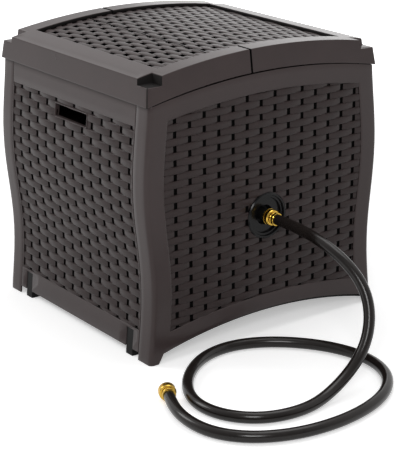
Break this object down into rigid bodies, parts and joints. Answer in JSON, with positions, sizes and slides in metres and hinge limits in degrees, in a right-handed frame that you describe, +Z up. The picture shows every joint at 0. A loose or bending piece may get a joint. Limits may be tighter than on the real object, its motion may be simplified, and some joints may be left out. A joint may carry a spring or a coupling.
{
  "type": "hose reel",
  "caption": "Square hose reel box in wicker-pattern resin with an arched lid that opens at the front, a crank-turned reel inside and a leader hose on the side inlet.",
  "frame": {"origin": "on the floor, under the middle of the box", "axes": "+X towards the inlet side, +Y to the rear, +Z up; the hand slot and the lid's opening edge face -Y"},
  "size_m": [1.0551, 0.6638, 0.5771],
  "materials": {
    "resin": "grained grey-brown resin",
    "black_resin": "matt black",
    "black_gloss": "satin black",
    "acetal": "natural",
    "steel": "bright zinc",
    "brass": "turned brass",
    "hose": "smooth black",
    "rubber": "matt black"
  },
  "bodies": {
    "cabinet": {"right_side_panel": "resin", "left_side_panel": "resin", "front_panel": "resin", "rear_panel": "resin", "base_tray": "black_resin", "rear_lid": "resin", "panel_screws": "steel", "base_screws": "steel", "lid_screws": "steel", "inlet_flange": "black_gloss", "inlet_lock_ring": "black_resin", "inlet_tube": "black_resin", "inlet_clip": "steel", "inlet_o_rings": "rubber", "crank_flange": "black_gloss", "crank_lock_ring": "black_resin", "leader_hose": "hose", "inlet_tail": "brass", "inlet_washer": "rubber", "tap_tail": "brass", "tap_washer": "rubber"},
    "lid": {"front_lid": "resin", "hinge_pins": "steel"},
    "reel": {"reel_flange_right": "black_resin", "reel_flange_left": "black_resin", "right_bush": "acetal", "left_bush": "acetal", "drum_front": "black_resin", "drum_rear": "black_resin", "reel_screws": "steel", "water_hub": "acetal", "outlet_elbow": "black_resin", "outlet_fitting": "black_resin", "crank_shaft": "steel", "crank_arm": "black_gloss", "crank_screw": "steel", "knob_pin": "steel", "knob_washer": "steel"},
    "knob": {"crank_knob": "black_gloss"},
    "inlet_swivel": {"inlet_nut": "brass"},
    "tap_swivel": {"tap_nut": "brass"}
  },
  "joints": [
    {"name": "lid_hinge", "type": "hinge", "parent": "cabinet", "child": "lid", "pos_m": [0, -0.0427, 0.56892], "axis": [-1, 0, 0], "range_deg": [0, 100]},
    {"name": "reel_turn", "type": "hinge", "parent": "cabinet", "child": "reel", "pos_m": [0, 0, 0.244], "axis": [1, 0, 0], "continuous": true},
    {"name": "knob_spin", "type": "hinge", "parent": "reel", "child": "knob", "pos_m": [-0.33, 0, 0.119], "axis": [1, 0, 0], "continuous": true},
    {"name": "inlet_nut_turn", "type": "hinge", "parent": "cabinet", "child": "inlet_swivel", "pos_m": [0.275, 0, 0.244], "axis": [1, 0, 0], "continuous": true},
    {"name": "tap_nut_turn", "type": "hinge", "parent": "cabinet", "child": "tap_swivel", "pos_m": [0.39678, -0.33597, 0.0165], "axis": [-0.9063, 0.4226, 0], "continuous": true}
  ]
}
